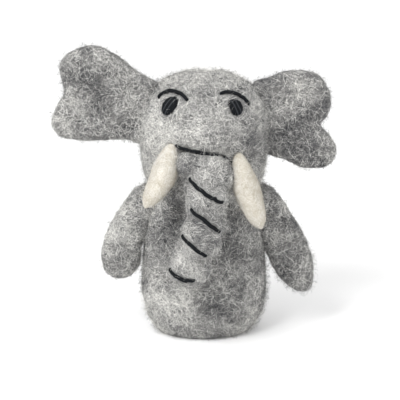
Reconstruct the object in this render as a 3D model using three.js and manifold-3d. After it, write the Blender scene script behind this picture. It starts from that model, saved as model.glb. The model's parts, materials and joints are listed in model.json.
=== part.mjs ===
// Felted-wool elephant finger puppet: a hollow felt pouch for a finger, a padded head that nods on it,
// flat two-lobed ears, arms, a stitched trunk in four puffs, two tusks and embroidered black floss.
// Millimetres, +Z up, the face looks along -Y, and the puppet's own left is +X.
import * as THREE from 'three';
import { mergeVertices } from 'three/addons/utils/BufferGeometryUtils.js';
import Module from 'manifold-3d';

const wasm = await Module();
wasm.setup();

// ---------------------------------------------------------------- driving dimensions
const GAP = 0.4; // air between two felt pieces that touch on the real puppet
const BODY_DEPTH = 0.78; // pouch depth over its width
const HEAD_DEPTH = 0.85; // head depth over its width
const HEM = 15.2; // half-width of the pouch where it stands, drawn in below its widest line
const HEM_WALL = 3.2; // felt thickness at the hem
const NECK = new THREE.Vector3(0, 0, 54); // where the finger bends the head on the body
const DOME = [17.4, 14.4, 14.4]; // the pouch's round top, nested in the head
const FINGER = 8.8; // radius of the finger pocket through the neck
const POCKET_TOP = 83; // end of the finger pocket inside the head

const HEAD = { width: 21.5, z: 72, up: 18.2, down: 36, power: 2.35, rim: 54.6 };
const MUZZLE = { at: [0.4, -8.5, 74], size: [12.6, 12.6, 13.5] };

const EAR_THICK = 5.2;
const EAR_BEAD = 3; // radius of the rolled root of an ear, lying in a groove of the head
const EAR_CLEAR = 1.7; // the ear's flat part starts this far off the head, so that it can flap
const EAR_Y = 1;
// Each ear: the hinge line's ends and the outline, as [distance from the middle, height].
const EARS = {
  ear_right: {
    side: -1, foot: [22.0, 68.5], top: [18.9, 84.5],
    outline: [[17.5, 86.6], [22, 90.1], [30, 96.2], [37, 99.0], [43.6, 97.0], [48.0, 92.4], [47.0, 86.2],
      [46.6, 82.4], [49.6, 76.4], [50.8, 71.6], [46.5, 67.2], [36, 66.6], [26, 66.8], [20, 67.4]],
  },
  ear_left: {
    side: 1, foot: [22.0, 64.5], top: [18.9, 84.5],
    outline: [[17.5, 86.2], [21.6, 88.2], [28, 90.2], [35, 90.3], [40.2, 86.6], [42.4, 80.4], [41.2, 75.2],
      [38.9, 71.6], [42.2, 67.4], [44.5, 62.6], [41.0, 57.5], [34, 57.1], [26, 60.5], [20, 62.2]],
  },
};

const SHOULDER = { x: 20.6, y: -0.5, z: 46.5, root: 4.4 };
const ARM_FLAT = 0.66; // arm thickness over its width
const ARMPIT = 21.5; // the flat inner side of each arm lies just off the pouch's widest line
const ARMS = {
  arm_right: { side: -1, length: 30.4, lean: 19.5, width: 7.7 },
  arm_left: { side: 1, length: 36.4, lean: 23.0, width: 7.1 },
};

const TRUNK_ROOT = { at: [0.4, -19.2, 61.8], wide: 8.6, deep: 5.8 };
// Each crease: its centre, the trunk's half-width and half-depth there, and the crease's slope in degrees.
// The stitch by a crease has its own slope and runs round the trunk's front from one angle to another.
const CREASES = [
  { at: [0.6, -23.8, 55.4], wide: 7.5, deep: 6.3, slope: 30, stitch: { slope: 33, from: -78, to: 38 } },
  { at: [0.9, -24.4, 45.6], wide: 6.9, deep: 6.1, slope: 36, stitch: { slope: 41, from: -68, to: 33 } },
  { at: [-2.6, -24.4, 36.5], wide: 7.1, deep: 6.1, slope: 34, stitch: { slope: 39, from: -64, to: 22 } },
];
const TRUNK_TIP = [-7.0, -24.0, 23.6];
// The last stitch draws in the underside of the tip; nothing bends there.
const TIP_CREASE = {
  at: [-6.2, -24.0, 28.4], wide: 6.6, deep: 6.0, lift: 0, stitch: { slope: 20, from: -64, to: 24, sag: 1.3 },
};
const PUFF_CAP = 16; // radius of the round ends between two puffs

const TUSKS = {
  tusk_right: { from: [-9.9, -14.5, 71.0], to: [-19.6, -25.5, 50.8], wide: 5.0, bow: 1.6 },
  tusk_left: { from: [10.7, -14.5, 68.0], to: [19.0, -25.5, 43.8], wide: 5.0, bow: -0.9 },
};

const FLOSS = 0.55; // radius of the embroidery floss
// Embroidery on the face, as [x, z] of points that each stitch passes over.
const FACE_STITCHES = {
  brow_right: [[-14.9, 83.9], [-12.6, 85.6], [-9.8, 86.2], [-7.2, 85.8], [-5.4, 84.4]],
  brow_left: [[5.6, 86.2], [7.6, 86.3], [11.0, 85.2], [14.7, 82.3]],
  mouth_stitch: [[-8.6, 69.8], [-5.0, 69.5], [0.2, 68.8], [5.2, 67.3], [8.9, 64.4]],
};
const EYES = {
  eye_right: { x: -11.4, z: 82.2, tall: 3.2, wide: 2.4, tilt: -28 },
  eye_left: { x: 10.4, z: 82.1, tall: 2.8, wide: 2.4, tilt: 20 },
};

// ---------------------------------------------------------------- materials
const felt = (color) => new THREE.MeshStandardMaterial({ color, roughness: 0.95, metalness: 0 });
const GREY_WOOL = felt(0x9a9a98);
const LIGHT_WOOL = felt(0xb9b9b6);
const CREAM_WOOL = felt(0xe4dccb);
const BLACK_FLOSS = new THREE.MeshStandardMaterial({ color: 0x1c1e20, roughness: 0.6, metalness: 0 });

// ---------------------------------------------------------------- solids
// A closed three.js geometry as a manifold-3d solid, and back.
function solid(geometry) {
  const bare = geometry.clone();
  for (const name of Object.keys(bare.attributes)) {
    if (name !== 'position') bare.deleteAttribute(name);
  }
  const merged = mergeVertices(bare, 1e-4);
  return new wasm.Manifold(new wasm.Mesh({
    numProp: 3,
    vertProperties: merged.attributes.position.array,
    triVerts: new Uint32Array(merged.index.array),
  }));
}

function shape(made) {
  const { vertProperties, triVerts } = made.getMesh();
  const geometry = new THREE.BufferGeometry();
  geometry.setAttribute('position', new THREE.BufferAttribute(vertProperties, 3));
  geometry.setIndex(new THREE.BufferAttribute(triVerts, 1));
  geometry.computeVertexNormals();
  return geometry;
}

function ellipsoid(at, [x, y, z], around = 28) {
  return solid(new THREE.SphereGeometry(1, around, around / 2).scale(x, y, z).translate(...at));
}

function ball(at, radius, around = 32) {
  return ellipsoid(at, [radius, radius, radius], around);
}

// A profile of [radius, height] points turned about +Z, flattened along Y.
function turned(profile, depth, around = 32) {
  const points = profile.map(([r, z]) => new THREE.Vector2(Math.max(r, 0), z));
  const geometry = new THREE.LatheGeometry(points, around).rotateX(Math.PI / 2);
  return solid(geometry.scale(1, depth, 1));
}

// Points of a smooth outline through a few [radius, height] ones.
function smooth(points, count) {
  const curve = new THREE.SplineCurve(points.map(([r, z]) => new THREE.Vector2(r, z)));
  return curve.getPoints(count).map((p) => [p.x, p.y]);
}

// Turns a solid made along +Z so that it runs from one point to another.
function lay(geometry, from, to) {
  const along = new THREE.Vector3().subVectors(to, from).normalize();
  const turn = new THREE.Quaternion().setFromUnitVectors(new THREE.Vector3(0, 0, 1), along);
  return geometry.applyQuaternion(turn).translate(from.x, from.y, from.z);
}

const vec = (at) => new THREE.Vector3(...at);

// ---------------------------------------------------------------- head surface
function headHalfWidth(z) {
  const reach = z > HEAD.z ? HEAD.up : HEAD.down;
  const t = Math.min(Math.abs(z - HEAD.z) / reach, 1);
  return HEAD.width * (1 - t ** HEAD.power) ** (1 / HEAD.power);
}

// The y of the front of the face at x, z.
function faceY(x, z) {
  const half = headHalfWidth(z);
  const head = -HEAD_DEPTH * Math.sqrt(Math.max(half * half - x * x, 0));
  const [mx, my, mz] = MUZZLE.at;
  const [a, b, c] = MUZZLE.size;
  const inside = 1 - ((x - mx) / a) ** 2 - ((z - mz) / c) ** 2;
  return inside > 0 ? Math.min(head, my - b * Math.sqrt(inside)) : head;
}

// A point over the face at x, z, standing off it by lift, and the way out of the face there.
function onFace(x, z, lift) {
  const step = 0.2;
  const out = new THREE.Vector3(
    (faceY(x + step, z) - faceY(x - step, z)) / (2 * step),
    -1,
    (faceY(x, z + step) - faceY(x, z - step)) / (2 * step),
  ).normalize();
  return { at: new THREE.Vector3(x, faceY(x, z), z).addScaledVector(out, lift), out };
}

// ---------------------------------------------------------------- pieces
// A length of floss through the given points.
function floss(points, steps = 9) {
  const section = new THREE.Shape();
  section.absarc(0, 0, FLOSS, 0, 2 * Math.PI);
  const extrudePath = new THREE.CatmullRomCurve3(points);
  return new THREE.ExtrudeGeometry(section, { steps, curveSegments: 4, bevelEnabled: false, extrudePath });
}

function bodyPouch() {
  const outer = smooth(
    [[HEM, 0], [17.4, 2.4], [19.6, 7], [21.1, 14], [20.9, 22], [20.1, 33], [19.1, 44]], 18);
  outer.push([17.6, 48.6], [0, 49]);
  const inner = smooth([[HEM - HEM_WALL, 0], [14.0, 4], [16.4, 9.5], [17.5, 16], [16.9, 27], [15.4, 36],
    [12.2, 43], [8, 48]], 14);
  const wool = turned([[0, 0], ...outer], BODY_DEPTH).add(ellipsoid(NECK.toArray(), DOME, 40));
  const pocket = turned([[0, -2], [HEM - HEM_WALL, -2], ...inner, [0, 49]], BODY_DEPTH);
  let pouch = wool.subtract(pocket).subtract(fingerHole(40, 75));
  const { x, y, z, root } = SHOULDER;
  for (const side of [-1, 1]) pouch = pouch.subtract(ball([side * x, y, z], root + GAP, 24));
  return pouch;
}

function fingerHole(from, to) {
  return turned([[0, from], [FINGER, from], [FINGER, to - 5], [FINGER * 0.75, to - 1.7], [0, to]], 1);
}

// The hinge line of an ear as two points.
function earHinge({ side, top, foot }) {
  return [vec([side * foot[0], EAR_Y, foot[1]]), vec([side * top[0], EAR_Y, top[1]])];
}

function hingeBead(ear, radius) {
  const [foot, top] = earHinge(ear);
  const length = top.distanceTo(foot);
  const capsule = new THREE.CapsuleGeometry(radius, length, 4, 16).rotateX(Math.PI / 2);
  return solid(lay(capsule.translate(0, 0, length / 2), foot, top));
}

function earPlate({ side, outline }) {
  const curve = new THREE.SplineCurve(outline.map(([x, z]) => new THREE.Vector2(x, z)));
  const edge = 1.5;
  const plate = new THREE.ExtrudeGeometry(new THREE.Shape(curve.getPoints(40)), {
    depth: EAR_THICK - 2 * edge, bevelThickness: edge, bevelSize: edge, bevelOffset: -edge, bevelSegments: 2,
  });
  plate.translate(0, 0, edge - EAR_THICK / 2).rotateX(Math.PI / 2).translate(0, EAR_Y, 0);
  const made = solid(plate).subtract(headWool(EAR_CLEAR));
  return side > 0 ? made : made.mirror([1, 0, 0]);
}

function ear(name) {
  return earPlate(EARS[name]).add(hingeBead(EARS[name], EAR_BEAD));
}

// The head's outer form, grown by a little where something has to stay clear of it.
function headWool(grow = 0) {
  const profile = [[0, HEAD.rim - grow]];
  const rings = 16;
  for (let i = 0; i <= rings; i += 1) {
    const share = Math.sin(((i / rings) * Math.PI) / 2);
    const z = HEAD.rim + (HEAD.z + HEAD.up - HEAD.rim) * share;
    profile.push([i < rings ? headHalfWidth(z) + grow : 0, z + grow * (2 * share - 1)]);
  }
  const muzzle = ellipsoid(MUZZLE.at, MUZZLE.size.map((size) => size + grow), 32);
  return turned(profile, HEAD_DEPTH).add(muzzle);
}

function trunkBall(grow) {
  const { at, wide, deep } = TRUNK_ROOT;
  return ellipsoid(at, [wide + grow, deep + grow, deep + grow], 32);
}

function head() {
  let wool = headWool().subtract(ellipsoid(NECK.toArray(), DOME.map((size) => size + GAP), 40));
  wool = wool.subtract(fingerHole(NECK.z, POCKET_TOP)).subtract(trunkBall(GAP));
  for (const name of Object.keys(EARS)) wool = wool.subtract(hingeBead(EARS[name], EAR_BEAD + GAP));
  return wool;
}

function arm({ side, length, lean, width }) {
  const { x, y, z, root } = SHOULDER;
  const profile = smooth(
    [[0, -root * 0.8], [root * 0.8, -root * 0.5], [root * 1.2, length * 0.08], [width * 0.95, length * 0.34],
      [width, length * 0.58], [width * 0.84, length * 0.8], [width * 0.46, length * 0.95], [0, length]], 18);
  const limb = new THREE.LatheGeometry(profile.map(([r, s]) => new THREE.Vector2(Math.max(r, 0), s)), 20);
  limb.rotateX(-Math.PI / 2).scale(1, ARM_FLAT, 1);
  limb.rotateY((side * -lean * Math.PI) / 180).translate(side * x, y, z);
  const outside = solid(limb).trimByPlane([side, 0, 0], ARMPIT);
  return outside.add(ball([side * x, y, z], root, 24));
}

function slopeUp({ slope }) {
  const a = (slope * Math.PI) / 180;
  return new THREE.Vector3(Math.sin(a), 0, Math.cos(a));
}

// One stuffed length of the trunk between two stations, wider in its middle, longer than it shows.
function puffTube(from, to, above, below) {
  const length = vec(from.at).distanceTo(vec(to.at));
  const bulge = 1.06;
  const middle = ((from.wide + to.wide) / 2) * bulge;
  const profile = [[0, -below], [to.wide, -below], [to.wide, 0], [middle, length / 2],
    [from.wide, length], [from.wide, length + above], [0, length + above]];
  const points = profile.map(([r, z]) => new THREE.Vector2(r, z));
  const tube = new THREE.LatheGeometry(points, 24).rotateX(Math.PI / 2);
  tube.scale(1, (from.deep + to.deep) / (from.wide + to.wide), 1);
  return solid(lay(tube, vec(to.at), vec(from.at)));
}

// The ball whose round end closes a puff at a crease: side 1 for the puff above it, -1 for the one below.
function capBall(crease, side) {
  const centre = vec(crease.at).addScaledVector(slopeUp(crease), side * (PUFF_CAP + GAP / 2));
  return ball(centre.toArray(), PUFF_CAP, 40);
}

function trunkPuff(index) {
  const reach = 5;
  if (index === 0) {
    const root = { at: TRUNK_ROOT.at, wide: TRUNK_ROOT.wide * 0.9, deep: TRUNK_ROOT.deep * 0.94 };
    const neck = puffTube(root, CREASES[0], 0, reach).intersect(capBall(CREASES[0], 1));
    const up = slopeUp(CREASES[0]);
    const seat = trunkBall(0).trimByPlane(up.toArray(), up.dot(vec(CREASES[0].at)) + GAP);
    return seat.add(neck.subtract(headWool(GAP)));
  }
  const above = CREASES[index - 1];
  if (index < CREASES.length) {
    const tube = puffTube(above, CREASES[index], reach, reach);
    return tube.intersect(capBall(above, -1)).intersect(capBall(CREASES[index], 1));
  }
  const tip = vec(TRUNK_TIP);
  const length = vec(above.at).distanceTo(tip);
  const { wide, deep } = above;
  const profile = smooth(
    [[0, 0], [wide * 0.62, 1.2], [wide * 0.95, 5], [wide, 10], [wide, length + reach]], 12);
  const points = [...profile, [0, length + reach]].map(([r, z]) => new THREE.Vector2(Math.max(r, 0), z));
  const tube = new THREE.LatheGeometry(points, 24).rotateX(Math.PI / 2).scale(1, deep / wide, 1);
  return solid(lay(tube, tip, vec(above.at))).intersect(capBall(above, -1));
}

// Floss laid round the front of the trunk just above a crease, on the puff that carries it.
function creaseLine({ at, wide, deep, lift = 1.7, stitch }) {
  const up = slopeUp(stitch);
  const across = new THREE.Vector3(up.z, 0, -up.x);
  const off = FLOSS + 0.5;
  const points = [];
  for (let i = 0; i <= 6; i += 1) {
    const a = ((stitch.from + (stitch.to - stitch.from) * (i / 6)) * Math.PI) / 180;
    const rise = lift - (stitch.sag ?? 0) * Math.sin((Math.PI * i) / 6);
    points.push(vec(at).addScaledVector(across, (wide + off) * Math.sin(a)).addScaledVector(up, rise)
      .add(new THREE.Vector3(0, -(deep + off) * Math.cos(a), 0)));
  }
  return points;
}

// A tusk widest at its middle, which is bowed sideways by `bow`.
function tusk({ from, to, wide, bow }) {
  const length = vec(from).distanceTo(vec(to));
  const profile = smooth(
    [[0, 0], [wide * 0.5, length * 0.12], [wide * 0.96, length * 0.4], [wide, length * 0.58],
      [wide * 0.7, length * 0.86], [0, length]], 14);
  const points = profile.map(([r, z]) => new THREE.Vector2(Math.max(r, 0), z));
  const cone = new THREE.LatheGeometry(points, 20).rotateX(Math.PI / 2).scale(1, 0.85, 1);
  const bowed = solid(lay(cone, vec(from), vec(to))).warp((point) => {
    const share = (from[2] - point[2]) / (from[2] - to[2]);
    point[0] += bow * Math.sin(Math.PI * Math.min(Math.max(share, 0), 1));
  });
  return bowed.subtract(headWool(0.3)).subtract(trunkBall(GAP + 0.2));
}

// A satin-stitched eye: a thin oval pad of floss that stands on the face.
function eye({ x, z, tall, wide, tilt }) {
  const thick = 1.7;
  const { at, out } = onFace(x, z, -0.5);
  const oval = new THREE.Shape();
  oval.absellipse(0, 0, wide, tall, 0, 2 * Math.PI, false, (tilt * Math.PI) / 180);
  const pad = new THREE.ExtrudeGeometry(oval, {
    depth: thick - 0.4, curveSegments: 10,
    bevelThickness: 0.2, bevelSize: 0.4, bevelOffset: -0.4, bevelSegments: 1,
  });
  pad.translate(0, 0, 0.2);
  const turn = new THREE.Matrix4().lookAt(out, new THREE.Vector3(), new THREE.Vector3(0, 0, 1));
  return solid(pad.applyMatrix4(turn).translate(at.x, at.y, at.z)).subtract(headWool(0.15));
}

// ---------------------------------------------------------------- assembly
const puppet = new THREE.Group();

function add(name, geometry, material) {
  const mesh = new THREE.Mesh(geometry, material);
  mesh.name = name;
  puppet.add(mesh);
}

add('body_pouch', shape(bodyPouch()), GREY_WOOL);
add('head', shape(head()), LIGHT_WOOL);
for (const name of Object.keys(EARS)) add(name, shape(ear(name)), GREY_WOOL);
for (const [name, limb] of Object.entries(ARMS)) add(name, shape(arm(limb)), GREY_WOOL);
[...CREASES, TIP_CREASE].forEach((crease, i) => {
  const puff = trunkPuff(i);
  add(`trunk_puff_${i + 1}`, shape(puff), LIGHT_WOOL);
  add(`trunk_stitch_${i + 1}`, shape(solid(floss(creaseLine(crease))).subtract(puff)), BLACK_FLOSS);
});
for (const [name, cone] of Object.entries(TUSKS)) add(name, shape(tusk(cone)), CREAM_WOOL);
for (const [name, pad] of Object.entries(EYES)) add(name, shape(eye(pad)), BLACK_FLOSS);
for (const [name, points] of Object.entries(FACE_STITCHES)) {
  const stitch = solid(floss(points.map(([x, z]) => onFace(x, z, FLOSS + 0.1).at)));
  add(name, shape(stitch.subtract(headWool(0.1)).subtract(trunkBall(GAP))), BLACK_FLOSS);
}
// The origin is at the middle of the whole puppet's base.
const box = new THREE.Box3().setFromObject(puppet);
puppet.position.set(-(box.min.x + box.max.x) / 2, -(box.min.y + box.max.y) / 2, -box.min.z);

export default puppet;
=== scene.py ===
"""Felted-wool elephant finger puppet: hairy felt skins, loose fibres and embroidery floss on the CAD frame.

Sizes in this file are in metres; MM turns a size in millimetres into metres.
"""
import json
import math

import bmesh
import bpy
import numpy as np
from mathutils import Matrix, Vector, noise
from mathutils.bvhtree import BVHTree


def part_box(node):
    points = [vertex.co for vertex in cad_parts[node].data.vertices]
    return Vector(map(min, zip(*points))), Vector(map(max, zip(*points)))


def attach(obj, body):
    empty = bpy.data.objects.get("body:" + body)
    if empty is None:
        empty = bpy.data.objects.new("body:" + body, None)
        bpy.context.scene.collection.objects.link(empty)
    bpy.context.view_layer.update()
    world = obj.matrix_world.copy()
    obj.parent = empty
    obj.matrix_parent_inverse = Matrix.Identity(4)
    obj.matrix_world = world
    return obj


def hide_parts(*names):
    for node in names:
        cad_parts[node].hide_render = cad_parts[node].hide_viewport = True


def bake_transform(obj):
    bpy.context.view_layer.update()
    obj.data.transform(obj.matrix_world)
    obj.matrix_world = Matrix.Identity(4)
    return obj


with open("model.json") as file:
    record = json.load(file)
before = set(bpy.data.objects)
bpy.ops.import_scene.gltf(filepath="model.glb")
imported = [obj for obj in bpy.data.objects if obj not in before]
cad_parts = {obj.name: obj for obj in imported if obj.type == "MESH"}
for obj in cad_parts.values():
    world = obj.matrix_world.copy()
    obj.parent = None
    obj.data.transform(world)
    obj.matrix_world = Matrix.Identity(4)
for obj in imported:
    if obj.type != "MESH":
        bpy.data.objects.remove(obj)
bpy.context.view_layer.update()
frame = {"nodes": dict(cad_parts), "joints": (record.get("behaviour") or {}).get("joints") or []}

MM = 0.001
UP = Vector((0, 0, 1))
SIDES = {"right": -1, "left": 1}

# ---------------------------------------------------------------- places, from the frame
JOINTS = {joint["name"]: joint for joint in frame["joints"]}


def joint_place(name):
    return Vector(JOINTS[name]["pos_m"])


BODY_LOW, BODY_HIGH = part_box("body_pouch")
HEAD_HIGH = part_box("head")[1]
NECK = joint_place("head_nod")
AXIS_X, AXIS_Y = NECK.x, NECK.y  # the upright line through pouch and head

# ---------------------------------------------------------------- wool and floss
# Each look: (share of pale fibres from 0 to 1, how far the patches swing it).
LOOKS = {
    "body": (0.61, 0.42),
    "head": (0.65, 0.26),
    "ear_right": (0.57, 0.32),
    "ear_left": (0.52, 0.34),
    "arm_right": (0.72, 0.28),
    "arm_left": (0.50, 0.32),
    "trunk": (0.54, 0.30),
    "tusk": (0.55, 0.20),
}
# Places where the melange runs paler or darker, and painted shade in the hollows beside the trunk and in the
# cupped ears: (place in mm from the middle of the hem, radius, change).
PATCHES_AND_PAINTED_SHADE = [
    ((-15, -14, 70), 7, 0.38),  # the right cheek is the palest place
    ((-12, -12, 76), 6, 0.12),
    ((16, -12, 69), 7, -0.16),
    ((0, -14, 84), 6, -0.05),
    # Painted shade: the fibres in the hollows on both sides of the trunk are darkened.
    ((-13, -17, 45), 9, -0.34),  # hollows on both sides of the trunk
    ((-16, -14, 36), 8, -0.25),
    ((14, -16, 40), 9, -0.24),
    ((12, -16, 28), 8, -0.20),
    ((4, -17, 14), 6, -0.16),
    ((-14, -15, 14), 9, 0.24),
    ((-6, -28, 27), 6, 0.16),  # the trunk's tip
    ((-4, -29, 38), 5, -0.14),
    ((0, -6, 88), 9, 0.10),  # the crown
    # Painted shade darkens the cupped middle of each ear; low on the left ear the wool is darker too.
    ((-34, 1, 84), 8, -0.18),  # the middle of each ear
    ((-30, 1, 73), 6, -0.10),
    ((-45, 1, 72), 7, 0.12),
    ((-40, 1, 94), 7, -0.10),
    ((30, 1, 70), 8, -0.26),
    ((29, 1, 62), 6, -0.16),
]
# Wool of the melange from dark to pale, as linear colours.
GREY_FIBRES = [
    ("charcoal", (0.016, 0.018, 0.023)),
    ("slate", (0.075, 0.076, 0.083)),
    ("ash", (0.23, 0.226, 0.217)),
    ("silver", (0.49, 0.485, 0.465)),
    ("white", (0.85, 0.84, 0.80)),
]
CREAM_FIBRES = [
    ("oat", (0.47, 0.425, 0.34)),
    ("cream", (0.60, 0.565, 0.49)),
    ("milk", (0.76, 0.74, 0.70)),
]


def plain_material(name, color, roughness=0.85, sheen=0.0):
    material = bpy.data.materials.new(name)
    material.use_nodes = True
    shader = material.node_tree.nodes["Principled BSDF"]
    shader.inputs["Base Color"].default_value = (*color, 1)
    shader.inputs["Roughness"].default_value = roughness
    shader.inputs["Specular IOR Level"].default_value = 0.25
    shader.inputs["Sheen Weight"].default_value = sheen
    return material


def link(tree, source, target):
    tree.links.new(source, target)


def add_node(tree, kind, **values):
    node = tree.nodes.new(kind)
    for key, value in values.items():
        if key in node.inputs:
            node.inputs[key].default_value = value
        else:
            setattr(node, key, value)
    return node


def ramp(tree, factor, stops):
    node = tree.nodes.new("ShaderNodeValToRGB")
    elements = node.color_ramp.elements
    elements[0].position, elements[0].color = stops[0][0], (*stops[0][1], 1)
    elements[1].position, elements[1].color = stops[-1][0], (*stops[-1][1], 1)
    for position, color in stops[1:-1]:
        elements.new(position).color = (*color, 1)
    link(tree, factor, node.inputs["Fac"])
    return node.outputs["Color"]


def wool_material(name, dark, mid, pale, patches=0.5):
    """Matted wool under the loose fibres: streaks bent every way, darker and paler patches, fine nap."""
    material = plain_material(name, mid, roughness=0.95, sheen=0.4)
    tree = material.node_tree
    shader = tree.nodes["Principled BSDF"]
    place = add_node(tree, "ShaderNodeTexCoord").outputs["Object"]
    streak = add_node(tree, "ShaderNodeTexNoise", Scale=520.0, Detail=5.0, Roughness=0.7, Distortion=3.5)
    patch = add_node(tree, "ShaderNodeTexNoise", Scale=110.0, Detail=2.0, Roughness=0.5, Distortion=0.6)
    nap = add_node(tree, "ShaderNodeTexNoise", Scale=2600.0, Detail=2.0, Roughness=0.6)
    for texture in (streak, patch, nap):
        link(tree, place, texture.inputs["Vector"])
    mix = add_node(tree, "ShaderNodeMix", data_type="FLOAT")
    mix.inputs[0].default_value = 1 - patches
    link(tree, patch.outputs["Fac"], mix.inputs[2])
    link(tree, streak.outputs["Fac"], mix.inputs[3])
    color = ramp(tree, mix.outputs[0], [(0.36, dark), (0.5, mid), (0.64, pale)])
    link(tree, color, shader.inputs["Base Color"])
    height = add_node(tree, "ShaderNodeMath", operation="ADD")
    link(tree, streak.outputs["Fac"], height.inputs[0])
    link(tree, nap.outputs["Fac"], height.inputs[1])
    bump = add_node(tree, "ShaderNodeBump", Strength=0.7, Distance=0.35 * MM)
    link(tree, height.outputs[0], bump.inputs["Height"])
    link(tree, bump.outputs["Normal"], shader.inputs["Normal"])
    return material


def floss_material():
    """Black cotton floss: a faint gloss and fine filaments."""
    material = plain_material("black_floss", (0.006, 0.007, 0.008), roughness=0.55)
    tree = material.node_tree
    shader = tree.nodes["Principled BSDF"]
    shader.inputs["Specular IOR Level"].default_value = 0.1
    place = add_node(tree, "ShaderNodeTexCoord").outputs["Object"]
    filament = add_node(tree, "ShaderNodeTexNoise", Scale=6000.0, Detail=1.0)
    link(tree, place, filament.inputs["Vector"])
    stops = [(0.35, (0.002, 0.0024, 0.003)), (0.7, (0.011, 0.013, 0.016))]
    color = ramp(tree, filament.outputs["Fac"], stops)
    link(tree, color, shader.inputs["Base Color"])
    bump = add_node(tree, "ShaderNodeBump", Strength=0.5, Distance=0.08 * MM)
    link(tree, filament.outputs["Fac"], bump.inputs["Height"])
    link(tree, bump.outputs["Normal"], shader.inputs["Normal"])
    return material


GREY_WOOL = wool_material("grey_wool", (0.045, 0.046, 0.052), (0.16, 0.158, 0.155), (0.34, 0.337, 0.325))
LIGHT_WOOL = wool_material("light_wool", (0.07, 0.071, 0.077), (0.22, 0.218, 0.212), (0.42, 0.415, 0.40))
CREAM_WOOL = wool_material("cream_wool", (0.48, 0.435, 0.35), (0.58, 0.545, 0.47), (0.68, 0.655, 0.60),
                           patches=0.3)
BLACK_FLOSS = floss_material()
# Strands that catch the light.
FLOSS_GLINT = plain_material("floss_glint", (0.024, 0.027, 0.032), roughness=0.5)
GREY_SHADES = [plain_material("fibre_" + name, color) for name, color in GREY_FIBRES]
CREAM_SHADES = [plain_material("fibre_" + name, color) for name, color in CREAM_FIBRES]


# ---------------------------------------------------------------- felt skins
def mesh_object(name, mesh):
    made = bpy.data.objects.new(name, mesh)
    bpy.context.collection.objects.link(made)
    return made


def object_from(form, name):
    """An object made of the bmesh `form`, which is used up."""
    mesh = bpy.data.meshes.new(name)
    form.to_mesh(mesh)
    form.free()
    return mesh_object(name, mesh)


def shade_smooth(mesh):
    for polygon in mesh.polygons:
        polygon.use_smooth = True


def corners_of(node):
    """The corner points of a CAD solid, one in each row."""
    return np.array([tuple(vertex.co) for vertex in frame["nodes"][node].data.vertices])


def add_ellipsoid(form, place, size, around=32):
    """A ball of half-sizes `size` at `place`, added to the bmesh `form`."""
    to_place = Matrix.Translation(place) @ Matrix.Diagonal((*size, 1))
    bmesh.ops.create_uvsphere(form, u_segments=around, v_segments=around // 2, radius=1, matrix=to_place)


def add_rod(form, start, end, start_size, end_size, around=24):
    """A tapered oval rod; each size is (half-width along X, half-depth)."""
    along = (end - start).normalized()
    deep = along.cross(Vector((1, 0, 0))).normalized()
    wide = deep.cross(along)
    rings = []
    for place, (half_width, half_depth) in ((start, start_size), (end, end_size)):
        ring = []
        for i in range(around):
            angle = 2 * math.pi * i / around
            ring.append(form.verts.new(place + wide * half_width * math.cos(angle)
                                       + deep * half_depth * math.sin(angle)))
        rings.append(ring)
    for i in range(around):
        j = (i + 1) % around
        form.faces.new((rings[0][i], rings[0][j], rings[1][j], rings[1][i]))
    form.faces.new(rings[0][::-1])
    form.faces.new(rings[1])


def matted(name, nodes, material, extras=None, voxel=0.6 * MM, smooth=8, lumps=0.35 * MM):
    """One felt skin grown over CAD solids and whatever `extras` adds to them, softened and made uneven."""
    form = bmesh.new()
    for node in nodes:
        form.from_mesh(frame["nodes"][node].data)
    if extras:
        extras(form)
    bmesh.ops.recalc_face_normals(form, faces=form.faces)
    rough = object_from(form, name + "_rough")
    remesh = rough.modifiers.new("mat", "REMESH")
    remesh.mode = "VOXEL"
    remesh.voxel_size = voxel
    soften = rough.modifiers.new("soften", "SMOOTH")
    soften.factor = 0.5
    soften.iterations = smooth
    graph = bpy.context.evaluated_depsgraph_get()
    skin = mesh_object(name, bpy.data.meshes.new_from_object(rough.evaluated_get(graph)))
    skin.data.materials.clear()
    skin.data.materials.append(material)
    bpy.data.objects.remove(rough)
    roughen(skin.data, lumps)
    shade_smooth(skin.data)
    return skin


# Fineness and share of each layer of lumps, from broad to fine.
LUMPS = [(0.16, 1.3), (0.45, 0.7), (1.3, 0.25)]


def roughen(mesh, lumps):
    """Moves the surface in and out a little, as hand-felted wool does; the hem stays on the floor."""
    outward = np.empty(len(mesh.vertices) * 3, dtype=np.float32)
    mesh.vertex_normals.foreach_get("vector", outward)
    places = np.empty(len(mesh.vertices) * 3, dtype=np.float32)
    mesh.vertices.foreach_get("co", places)
    places = places.reshape(-1, 3)
    swell = []
    for spot in places:
        at = Vector(spot) / MM
        swell.append(sum(noise.noise(at * fineness) * share for fineness, share in LUMPS))
    places += outward.reshape(-1, 3) * np.array(swell, dtype=np.float32)[:, None] * lumps
    places[:, 2] = np.maximum(places[:, 2], 0)
    mesh.vertices.foreach_set("co", places.reshape(-1))
    mesh.update()


def tree_of(*skins):
    """A search tree over the faces of several skins."""
    corners = []
    faces = []
    for skin in skins:
        start = len(corners)
        corners.extend(vertex.co.copy() for vertex in skin.data.vertices)
        faces.extend([start + i for i in polygon.vertices] for polygon in skin.data.polygons)
    return BVHTree.FromPolygons(corners, faces)


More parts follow.
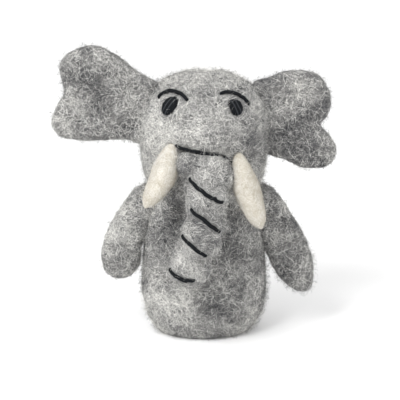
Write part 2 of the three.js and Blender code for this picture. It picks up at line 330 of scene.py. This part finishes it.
# ---------------------------------------------------------------- loose fibres
class Ribbons:
    """Collects thin ribbons and makes one mesh of them."""

    def __init__(self):
        self.points = []
        self.sides = []
        self.shades = []

    def add(self, points, sides, shade):
        self.points.append(points)
        self.sides.append(sides)
        self.shades.append(shade)

    def build(self, name, materials):
        points = np.array(self.points, dtype=np.float32)
        sides = np.array(self.sides, dtype=np.float32)
        count, knots = points.shape[:2]
        corners = np.stack([points - sides, points + sides], axis=2).reshape(-1, 3)
        first = (np.arange(count)[:, None] * knots + np.arange(knots - 1)[None, :]).reshape(-1) * 2
        quads = np.stack([first, first + 1, first + 3, first + 2], axis=1)
        mesh = bpy.data.meshes.new(name)
        mesh.vertices.add(len(corners))
        mesh.vertices.foreach_set("co", corners.reshape(-1))
        mesh.loops.add(quads.size)
        mesh.loops.foreach_set("vertex_index", quads.reshape(-1).astype(np.int32))
        mesh.polygons.add(len(quads))
        mesh.polygons.foreach_set("loop_start", (np.arange(len(quads)) * 4).astype(np.int32))
        shades = np.repeat(np.array(self.shades, dtype=np.int32), knots - 1)
        for material in materials:
            mesh.materials.append(material)
        mesh.polygons.foreach_set("material_index", shades)
        mesh.polygons.foreach_set("use_smooth", np.ones(len(quads), dtype=bool))
        mesh.update()
        mesh.validate()
        return mesh_object(name, mesh)


def surface_spots(skin, count, rng):
    """Random places on a skin, spread by area, with the outward direction at each."""
    mesh = skin.data
    areas = np.empty(len(mesh.polygons))
    mesh.polygons.foreach_get("area", areas)
    normals = np.empty(len(mesh.polygons) * 3)
    mesh.polygons.foreach_get("normal", normals)
    centres = np.empty(len(mesh.polygons) * 3)
    mesh.polygons.foreach_get("center", centres)
    chosen = rng.choice(len(areas), size=count, p=areas / areas.sum())
    jitter = rng.normal(scale=0.3 * MM, size=(count, 3))
    return centres.reshape(-1, 3)[chosen] + jitter, normals.reshape(-1, 3)[chosen]


def shade_of(place, look, shades, rng):
    """Picks a fibre's shade: patches of the melange are darker or paler, and painted shade darkens the fibres
    in the hollows beside the trunk and in the cupped ears.
    """
    pale, swing = look
    at = Vector(place) / MM
    patch = noise.noise(at * 0.13 + Vector((7, 3, 1))) + 0.5 * noise.noise(at * 0.35)
    level = pale + swing * patch + rng.normal(scale=0.33)
    spot = at - Vector((AXIS_X, AXIS_Y, 0)) / MM
    for centre, radius, change in PATCHES_AND_PAINTED_SHADE:
        level += change * math.exp(-(spot - Vector(centre)).length_squared / radius ** 2)
    return int(min(max(level * shades, 0), shades - 1))


def crosses(points, stitches):
    """True where a fibre would run over the embroidery."""
    return any(stitches.find_nearest(place, 0.3 * MM)[0] is not None for place in points)


FIBRE_DENSITY = 6.6  # fibres on each square millimetre of grey wool
KNOTS = 5  # points along each fibre
CLEARED = 0.9  # share of the fibres crossing a stitch that are left out


def draw_traits(out, length, stray, rng):
    """One fibre's traits; a `stray` share of the fibres stand off the skin and are shorter and finer."""
    stands = rng.random() < stray
    reach = rng.uniform(*length) * MM * (0.45 if stands else 1.0)
    heading = out.cross(Vector(rng.normal(size=3))).normalized()
    bend = rng.normal(scale=0.28)
    lift = rng.uniform(0.4, 2.0) * MM if stands else abs(rng.normal(scale=0.16)) * MM + 0.02 * MM
    free_end = rng.random() < 0.8
    arc = math.pi * (0.5 if stands and free_end else 1.0)
    half_width = (rng.uniform(0.016, 0.032) if stands else rng.uniform(0.022, 0.048)) * MM
    roll = rng.uniform(-1.2, 1.2) if stands else rng.normal(scale=0.25)
    return reach, heading, bend, lift, arc, half_width, roll


def lay_fibre(tree, place, traits, rng):
    """Walks over a skin from `place`; gives the fibre's points and the way from each to the fibre's edge."""
    reach, heading, bend, lift, arc, half_width, roll = traits
    points = []
    sides = []
    for step in range(KNOTS):
        share = step / (KNOTS - 1)
        near, out, _, _ = tree.find_nearest(place)
        heading = (heading - out * heading.dot(out)).normalized()
        taper = 1.0 - 0.6 * abs(2 * share - 1) ** 3
        across = heading.cross(out)
        sides.append((across * math.cos(roll) + out * math.sin(roll)) * half_width * taper)
        point = near + out * (lift * math.sin(share * arc) + 0.01 * MM)
        point.z = max(point.z, 0.05 * MM)
        points.append(point)
        heading = Matrix.Rotation(bend + rng.normal(scale=0.25), 3, out) @ heading
        place = near + heading * reach / (KNOTS - 1)
    return points, sides


def wool_fibres(name, skin, look, materials, seed, density=FIBRE_DENSITY, hidden=None,
                length=(1.8, 5.2), stray=0.42, stitches=None):
    """Fibres that lie over a skin in loose curves, and finer ones that stand off it as a soft haze."""
    rng = np.random.default_rng(seed)
    area = sum(polygon.area for polygon in skin.data.polygons) / MM ** 2
    count = int(area * density * (1.0))
    tree = tree_of(skin)
    ribbons = Ribbons()
    for spot, normal in zip(*surface_spots(skin, count, rng)):
        place = Vector(spot)
        out = Vector(normal)
        if hidden and hidden(place, out):
            continue
        traits = draw_traits(out, length, stray, rng)
        points, sides = lay_fibre(tree, place, traits, rng)
        if stitches and rng.random() < CLEARED and crosses(points, stitches):
            continue
        ribbons.add(points, sides, shade_of(spot, look, len(materials), rng))
    return ribbons.build(name, materials)


POCKET_MOUTH = 7 * MM  # height below which the pocket's wall can be seen and keeps its fibres
POCKET_ROOF = HEAD_HIGH.z - 8 * MM
POCKET_REACH = 17.8 * MM  # half-width that holds the pocket's wall but not the outside of the pouch
POCKET_FLATNESS = 0.78  # the puppet's depth for each unit of width


def in_pocket(place, out):
    """True on the inner wall of the finger pocket, well above its mouth."""
    inward = (AXIS_X - place.x) * out.x + (AXIS_Y - place.y) * out.y
    off_axis = math.hypot(place.x - AXIS_X, (place.y - AXIS_Y) / POCKET_FLATNESS)
    return inward > 0 and off_axis < POCKET_REACH and POCKET_MOUTH < place.z < POCKET_ROOF


# ---------------------------------------------------------------- body and head
COLLAR_BALL = (2.7 * MM, 2.7 * MM, 4.6 * MM)
COLLAR_BALLS = 40


def neck_collar(form):
    """Wool that closes the seam between the pouch's shoulder and the head."""
    wide = (BODY_HIGH.x - BODY_LOW.x) / 2 - 4.6 * MM
    deep = (BODY_HIGH.y - BODY_LOW.y) / 2 - 3.4 * MM
    for angle in np.linspace(0, 2 * math.pi, COLLAR_BALLS, endpoint=False):
        place = Vector((AXIS_X + wide * math.cos(angle), AXIS_Y + deep * math.sin(angle), NECK.z - 1.2 * MM))
        add_ellipsoid(form, place, COLLAR_BALL, around=12)


def make_main_skin():
    skin = matted("wool_body_and_head", ["body_pouch", "head"], GREY_WOOL, neck_collar, smooth=10)
    skin.data.materials.append(LIGHT_WOOL)
    for polygon in skin.data.polygons:
        polygon.material_index = int(polygon.center.z > NECK.z + 2 * MM)
    return skin


def place_main(piece):
    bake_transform(piece)


# ---------------------------------------------------------------- ears
EAR_ROOT = 17  # length of an ear's root in mm


def ear_bend(side_name):
    """The hinge line's middle and a point further out."""
    low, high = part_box(f"ear_{side_name}")
    hinge = joint_place(f"ear_{side_name}_flap")
    axis = Vector(JOINTS[f"ear_{side_name}_flap"]["axis"])
    height = (low.z + high.z) / 2
    on_line = hinge + axis * (height - hinge.z) / axis.z
    out = Vector((SIDES[side_name], 0, 0))
    return on_line + out * 0.5 * MM, on_line + out * 6 * MM


def make_ear(side_name):
    node = f"ear_{side_name}"
    foot = joint_place(f"{node}_flap")
    axis = Vector(JOINTS[f"{node}_flap"]["axis"])
    side = SIDES[side_name]
    if axis.z < 0:
        axis = -axis

    def root_wool(form):
        """Wool felted over the seam where the ear comes out of the head."""
        for along in np.linspace(0.5, EAR_ROOT - 0.5, 9):
            place = foot + axis * along * MM - Vector((side * 0.6 * MM, 0, 0))
            add_ellipsoid(form, place, Vector((3.4, 4.3, 2.6)) * MM, around=16)

    return matted(f"wool_{node}", [node], GREY_WOOL, root_wool, smooth=12, lumps=0.42 * MM)


# ---------------------------------------------------------------- arms
ARM_BEND_REACH = 6 * MM


def arm_bend(side_name):
    """Two points on the arm, at the same distance before and after its pivot."""
    shoulder = joint_place(f"arm_{side_name}_raise")
    low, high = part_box(f"arm_{side_name}")
    tip = Vector(((low.x + high.x) / 2 + SIDES[side_name] * 3 * MM, shoulder.y, low.z))
    along = (tip - shoulder).normalized()
    return shoulder - along * ARM_BEND_REACH, shoulder + along * ARM_BEND_REACH


ARM_WEBS = {"right": 16.5, "left": 19.0}  # how far below the shoulder each armpit lies, in mm


def make_arm(side_name):
    node = f"arm_{side_name}"
    shoulder = joint_place(f"arm_{side_name}_raise")
    side = SIDES[side_name]

    def shoulder_wool(form):
        add_ellipsoid(form, shoulder + Vector((-side * 1.8, 0, -0.6)) * MM, Vector((4.4, 6.6, 5.8)) * MM)
        add_ellipsoid(form, shoulder + Vector((side * 1.0, 0, -6.5)) * MM, Vector((4.2, 5.4, 8.0)) * MM)
        # The felt runs on between arm and body down to the armpit.
        web = ARM_WEBS[side_name]
        add_rod(form, shoulder - UP * 4 * MM, shoulder + Vector((side * 1.6, 0, -web)) * MM,
                (3.6 * MM, 4.6 * MM), (1.3 * MM, 2.6 * MM))

    return matted(f"wool_{node}", [node], GREY_WOOL, shoulder_wool, smooth=12)


# ---------------------------------------------------------------- trunk
TRUNK_ROOT = joint_place("trunk_lift")
CREASES = [joint_place("trunk_sway"), joint_place("trunk_curl"), joint_place("trunk_tip_curl")]
# Heights around each joint of the trunk, from which the cuts between the wool's pieces are found: (bodies,
# start, end).
TRUNK_BENDS = [("head", "trunk_1", TRUNK_ROOT + UP * 5.2 * MM, TRUNK_ROOT - UP * 0.4 * MM)]
HALF_BEND = UP * 3.4 * MM
for number, crease in enumerate(CREASES, start=1):
    TRUNK_BENDS.append((f"trunk_{number}", f"trunk_{number + 1}", crease + HALF_BEND, crease - HALF_BEND))


def trunk_core(form):
    """Wool that runs on under the stitches, so that each crease is only a shallow dent."""
    stations = [TRUNK_ROOT + Vector((0, 3, 2)) * MM, *CREASES]
    sizes = [(8.4 * MM, 6.4 * MM), (7.0 * MM, 5.9 * MM), (6.3 * MM, 5.7 * MM), (6.5 * MM, 5.7 * MM)]
    for i in range(3):
        add_rod(form, stations[i], stations[i + 1], sizes[i], sizes[i + 1])
    for place, (wide, deep) in zip(stations[1:], sizes[1:]):
        add_ellipsoid(form, place, (wide, deep, 4 * MM), around=24)
    # The top of the trunk is broad and fills the face up to the mouth line.
    for across, rise in ((-6.2, 2.2), (-3.2, 2.0), (0.4, 1.2), (3.8, -0.4), (6.0, -2.2)):
        add_ellipsoid(form, TRUNK_ROOT + Vector((across, 0.2, rise)) * MM, Vector((3.8, 5.3, 4.5)) * MM)
    low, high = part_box("trunk_puff_4")
    tip = Vector((low.x + 6.2 * MM, (low.y + high.y) / 2, low.z + 9 * MM))
    add_rod(form, stations[3], tip, sizes[3], (6.0 * MM, 5.4 * MM))


def make_trunk():
    nodes = [f"trunk_puff_{i}" for i in (1, 2, 3, 4)]
    return matted("wool_trunk", nodes, LIGHT_WOOL, trunk_core, voxel=0.5 * MM, smooth=9, lumps=0.25 * MM)


def trunk_seams():
    """Heights at which the trunk's wool is cut into a piece for each joint."""
    ends = [bend[3].z for bend in TRUNK_BENDS[:-1]]
    starts = [bend[2].z for bend in TRUNK_BENDS[1:]]
    return [(end + start) / 2 for end, start in zip(ends, starts)]


def trunk_piece_of(height):
    return sum(height < seam for seam in trunk_seams())


def split_trunk(whole, label):
    """Cuts a trunk mesh into one object for each bend; neighbouring pieces share their edge."""
    pieces = []
    for index, (first, second, start, end) in enumerate(TRUNK_BENDS):
        form = bmesh.new()
        form.from_mesh(whole.data)
        away = [face for face in form.faces if trunk_piece_of(face.calc_center_median().z) != index]
        bmesh.ops.delete(form, geom=away, context="FACES")
        piece = object_from(form, f"{label}_{index + 1}")
        for material in whole.data.materials:
            piece.data.materials.append(material)
        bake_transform(piece)
        pieces.append(piece)
    bpy.data.objects.remove(whole)
    return pieces


# ---------------------------------------------------------------- tusks
def make_tusk(side_name):
    node = f"tusk_{side_name}"
    return matted(f"wool_{node}", [node], CREAM_WOOL, voxel=0.4 * MM, lumps=0.14 * MM)


# ---------------------------------------------------------------- embroidery
FLOSS_RADIUS = 0.62 * MM
FLOSS_PLIES = 5
FLOSS_TURN = 4.2 * MM  # length in which a ply winds round once


def heading_at(points, i):
    """The direction of a line through `points` at the point with the number i."""
    return (points[min(i + 1, len(points) - 1)] - points[max(i - 1, 0)]).normalized()


def tube(form, points, radius, material=0, around=6):
    """A round strand through the points, closed at both ends."""
    rings = []
    for i, place in enumerate(points):
        along = heading_at(points, i)
        first = along.orthogonal().normalized() if i == 0 else (first - along * first.dot(along)).normalized()
        second = along.cross(first)
        size = radius * (0.6 if i in (0, len(points) - 1) else 1.0)
        ring = []
        for k in range(around):
            angle = 2 * math.pi * k / around
            ring.append(form.verts.new(place + (first * math.cos(angle) + second * math.sin(angle)) * size))
        rings.append(ring)
    outlines = []
    for a, b in zip(rings, rings[1:]):
        for k in range(around):
            j = (k + 1) % around
            outlines.append((a[k], a[j], b[j], b[k]))
    for outline in (*outlines, rings[0][::-1], rings[-1]):
        form.faces.new(outline).material_index = material


def strands_object(form, name, *materials):
    made = object_from(form, name)
    shade_smooth(made.data)
    for material in materials:
        made.data.materials.append(material)
    return made


def stitch_line(node, tree, count=26, sink=0.02 * MM):
    """The middle line of a CAD stitch from one end to the other, laid on the wool."""
    places = corners_of(node)
    edges = np.linspace(places[:, 0].min(), places[:, 0].max(), 12)
    line = []
    for left, right in zip(edges, edges[1:]):
        inside = places[(places[:, 0] >= left) & (places[:, 0] <= right)]
        if len(inside):
            line.append(Vector(inside.mean(axis=0)))
    line = [line[0] + (line[0] - line[1]) * 0.4, *line, line[-1] + (line[-1] - line[-2]) * 0.4]
    laid = []
    for i in range(count):
        at = i / (count - 1) * (len(line) - 1)
        first = min(int(at), len(line) - 2)
        place = line[first].lerp(line[first + 1], at - first)
        near, out, _, _ = tree.find_nearest(place)
        into = max(0.0, 1 - min(i, count - 1 - i) / 2.5) * 1.3 * MM
        laid.append(near + out * (FLOSS_RADIUS - sink - into))
    return laid


def ply_points(line, tree, phase):
    """The way of one ply round the line, held close to it at both ends."""
    points = []
    travelled = 0.0
    for i, place in enumerate(line):
        along = heading_at(line, i)
        travelled += (place - line[i - 1]).length if i else 0.0
        _, out, _, _ = tree.find_nearest(place)
        across = along.cross(out).normalized()
        angle = 2 * math.pi * (travelled / FLOSS_TURN + phase)
        swing = across * math.cos(angle) * 1.15 + across.cross(along) * math.sin(angle) * 0.7
        slack = math.sin(math.pi * i / (len(line) - 1)) ** 0.5
        points.append(place + swing * FLOSS_RADIUS * (0.2 + 0.42 * slack))
    return points


def floss(name, line, tree):
    """Twisted floss along a line: plies wound round one another."""
    form = bmesh.new()
    dense = [a.lerp(b, step / 3) for a, b in zip(line, line[1:]) for step in range(3)]
    dense.append(line[-1])
    for ply in range(FLOSS_PLIES):
        tube(form, ply_points(dense, tree, ply / FLOSS_PLIES), FLOSS_RADIUS * 0.45)
    return strands_object(form, name, BLACK_FLOSS)


EYE_STRANDS = 11
EYE_STRAND_RADIUS = 0.26 * MM
EYE_STRAND_STEPS = 12
GLINT_STRANDS = (4, 7)


def oval_of(node):
    """The centre of a flat CAD oval, its long and short directions and its half-length along each."""
    places = corners_of(node)
    centre = places.mean(axis=0)
    _, _, axes = np.linalg.svd(places - centre, full_matrices=False)
    tall, wide = Vector(axes[0]), Vector(axes[1])
    if tall.z < 0:
        tall = -tall
    half_tall, half_wide = (float(np.abs((places - centre) @ axes[i]).max()) for i in (0, 1))
    return Vector(centre), tall, wide, half_tall, half_wide


def satin_eye(side_name, tree):
    """An oval filled with strands laid side by side, each diving into the wool at both ends."""
    node = f"eye_{side_name}"
    centre, tall, wide, half_tall, half_wide = oval_of(node)
    form = bmesh.new()
    for i in range(EYE_STRANDS):
        across = 2 * (i + 0.5) / EYE_STRANDS - 1
        half = math.sqrt(max(1 - across ** 2, 0.05)) * half_tall
        points = []
        for step in range(EYE_STRAND_STEPS + 1):
            share = 2 * step / EYE_STRAND_STEPS - 1
            flat = centre + wide * across * half_wide + tall * share * (half + 0.3 * MM)
            near, out, _, _ = tree.find_nearest(flat)
            rise = (1 - share ** 6) * 0.70 * MM - 0.22 * MM
            points.append(near + out * (rise + 0.14 * MM * (1 - across ** 2)))
        tube(form, points, EYE_STRAND_RADIUS, material=int(i in GLINT_STRANDS))
    return strands_object(form, f"satin_{node}", BLACK_FLOSS, FLOSS_GLINT)


# ---------------------------------------------------------------- puppet
def finish_felt(piece, slot, *nodes):
    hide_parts(*nodes)


def build_body_and_head():
    skin = make_main_skin()
    stitches = build_face(skin)

    def hide_below_neck(place, out):
        return place.z < NECK.z or in_pocket(place, out)

    def hide_above_neck(place, out):
        return place.z >= NECK.z or in_pocket(place, out)

    # The fibres come in three layers of body and two of head, so that no mesh grows too heavy.
    layers = [("body", hide_above_neck, seed) for seed in (11, 12, 13)]
    layers += [("head", hide_below_neck, seed) for seed in (14, 15)]
    for name, hidden, seed in layers:
        density = FIBRE_DENSITY / sum(layer[0] == name for layer in layers)
        fuzz = wool_fibres(f"fibres_{name}_{seed}", skin, LOOKS[name], GREY_SHADES, seed,
                           density=density, hidden=hidden, stitches=stitches)
        place_main(fuzz)
    place_main(skin)
    finish_felt(skin, "light_wool", "body_pouch", "head")


def build_limb(kind, side_name, make, bend, seed):
    name = f"{kind}_{side_name}"
    skin = make(side_name)
    fuzz = wool_fibres(f"fibres_{name}", skin, LOOKS[name], GREY_SHADES, seed)
    start, end = bend(side_name)
    for piece in (skin, fuzz):
        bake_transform(piece)
    finish_felt(skin, "grey_wool", name)


def build_trunk():
    whole = make_trunk()
    tree = tree_of(whole)
    stitches = []
    for index in range(4):
        node = f"trunk_stitch_{index + 1}"
        stitches.append(floss(f"floss_{node}", stitch_line(node, tree), tree))
    fuzz = wool_fibres("fibres_trunk", whole, LOOKS["trunk"], GREY_SHADES, 31, stitches=tree_of(*stitches))
    for piece in split_trunk(fuzz, "fibres_trunk"):
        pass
    for index, piece in enumerate(split_trunk(whole, "wool_trunk")):
        finish_felt(piece, "light_wool", f"trunk_puff_{index + 1}")
    for index, stitch in enumerate(stitches):
        if index < 3:
            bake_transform(stitch)
        else:
            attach(stitch, "trunk_4")
        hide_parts(f"trunk_stitch_{index + 1}")


def build_tusks():
    for seed, side_name in enumerate(SIDES):
        skin = make_tusk(side_name)
        fuzz = wool_fibres(f"fibres_tusk_{side_name}", skin, LOOKS["tusk"], CREAM_SHADES, 41 + seed,
                           density=4.5, length=(2.0, 6.0), stray=0.1)
        for piece in (skin, fuzz):
            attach(piece, "head")
        finish_felt(skin, "cream_wool", f"tusk_{side_name}")


def build_face(skin):
    tree = tree_of(skin)
    pieces = {f"eye_{name}": satin_eye(name, tree) for name in SIDES}
    # The mouth line stands highest, because the trunk's wool crowds up to it.
    for node, sink in (("brow_right", 0.02), ("brow_left", 0.02), ("mouth_stitch", -0.3)):
        pieces[node] = floss(f"floss_{node}", stitch_line(node, tree, sink=sink * MM), tree)
    for node, piece in pieces.items():
        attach(piece, "head")
        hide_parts(node)
    return tree_of(*pieces.values())


# ---------------------------------------------------------------- studio
FLOOR_HALF = 4.0


def build_floor():
    mesh = bpy.data.meshes.new("floor")
    corners = [(x * FLOOR_HALF, y * FLOOR_HALF, 0) for x, y in ((-1, -1), (1, -1), (1, 1), (-1, 1))]
    mesh.from_pydata(corners, [], [(0, 1, 2, 3)])
    floor = mesh_object("floor", mesh)
    mesh.materials.append(plain_material("floor_white", (0.9, 0.9, 0.9), roughness=0.9))


def area_light(name, place, target, size, power):
    light = bpy.data.lights.new(name, "AREA")
    light.size = size
    light.energy = power
    lamp = bpy.data.objects.new(name, light)
    bpy.context.collection.objects.link(lamp)
    lamp.location = place
    lamp.rotation_euler = (Vector(target) - Vector(place)).to_track_quat("-Z", "Y").to_euler()


def build_light():
    world = bpy.data.worlds.new("studio")
    bpy.context.scene.world = world
    world.use_nodes = True
    world.node_tree.nodes["Background"].inputs["Color"].default_value = (1, 1, 1, 1)
    world.node_tree.nodes["Background"].inputs["Strength"].default_value = 1.0
    target = (0, 0, 0.05)
    area_light("key", (-0.5, -0.6, 0.8), target, 0.5, 9.0)
    area_light("fill", (0.7, -0.5, 0.4), target, 0.6, 1.5)


LENS = 240.0
SENSOR_WIDTH = 36.0
VIEW_WIDTH = 134.7 * MM  # what the picture spans at the puppet
VIEW_DISTANCE = VIEW_WIDTH / SENSOR_WIDTH * LENS
VIEW_ELEVATION = math.radians(18)
VIEW_TARGET = Vector((AXIS_X - 1.35 * MM, AXIS_Y, 45.7 * MM))


def build_camera():
    camera = bpy.data.cameras.new("camera")
    camera.lens = LENS
    camera.sensor_width = SENSOR_WIDTH
    camera.clip_start = 0.01
    eye = bpy.data.objects.new("camera", camera)
    bpy.context.collection.objects.link(eye)
    back = Vector((0, -math.cos(VIEW_ELEVATION), math.sin(VIEW_ELEVATION)))
    eye.location = VIEW_TARGET + back * VIEW_DISTANCE
    eye.rotation_euler = (VIEW_TARGET - eye.location).to_track_quat("-Z", "Y").to_euler()
    bpy.context.scene.camera = eye
    bpy.context.scene.view_settings.view_transform = "Standard"


build_camera()
build_floor()
build_light()
build_body_and_head()
for number, limb_side in enumerate(SIDES):
    build_limb("ear", limb_side, make_ear, ear_bend, 21 + number)
    build_limb("arm", limb_side, make_arm, arm_bend, 26 + number)
build_trunk()
build_tusks()
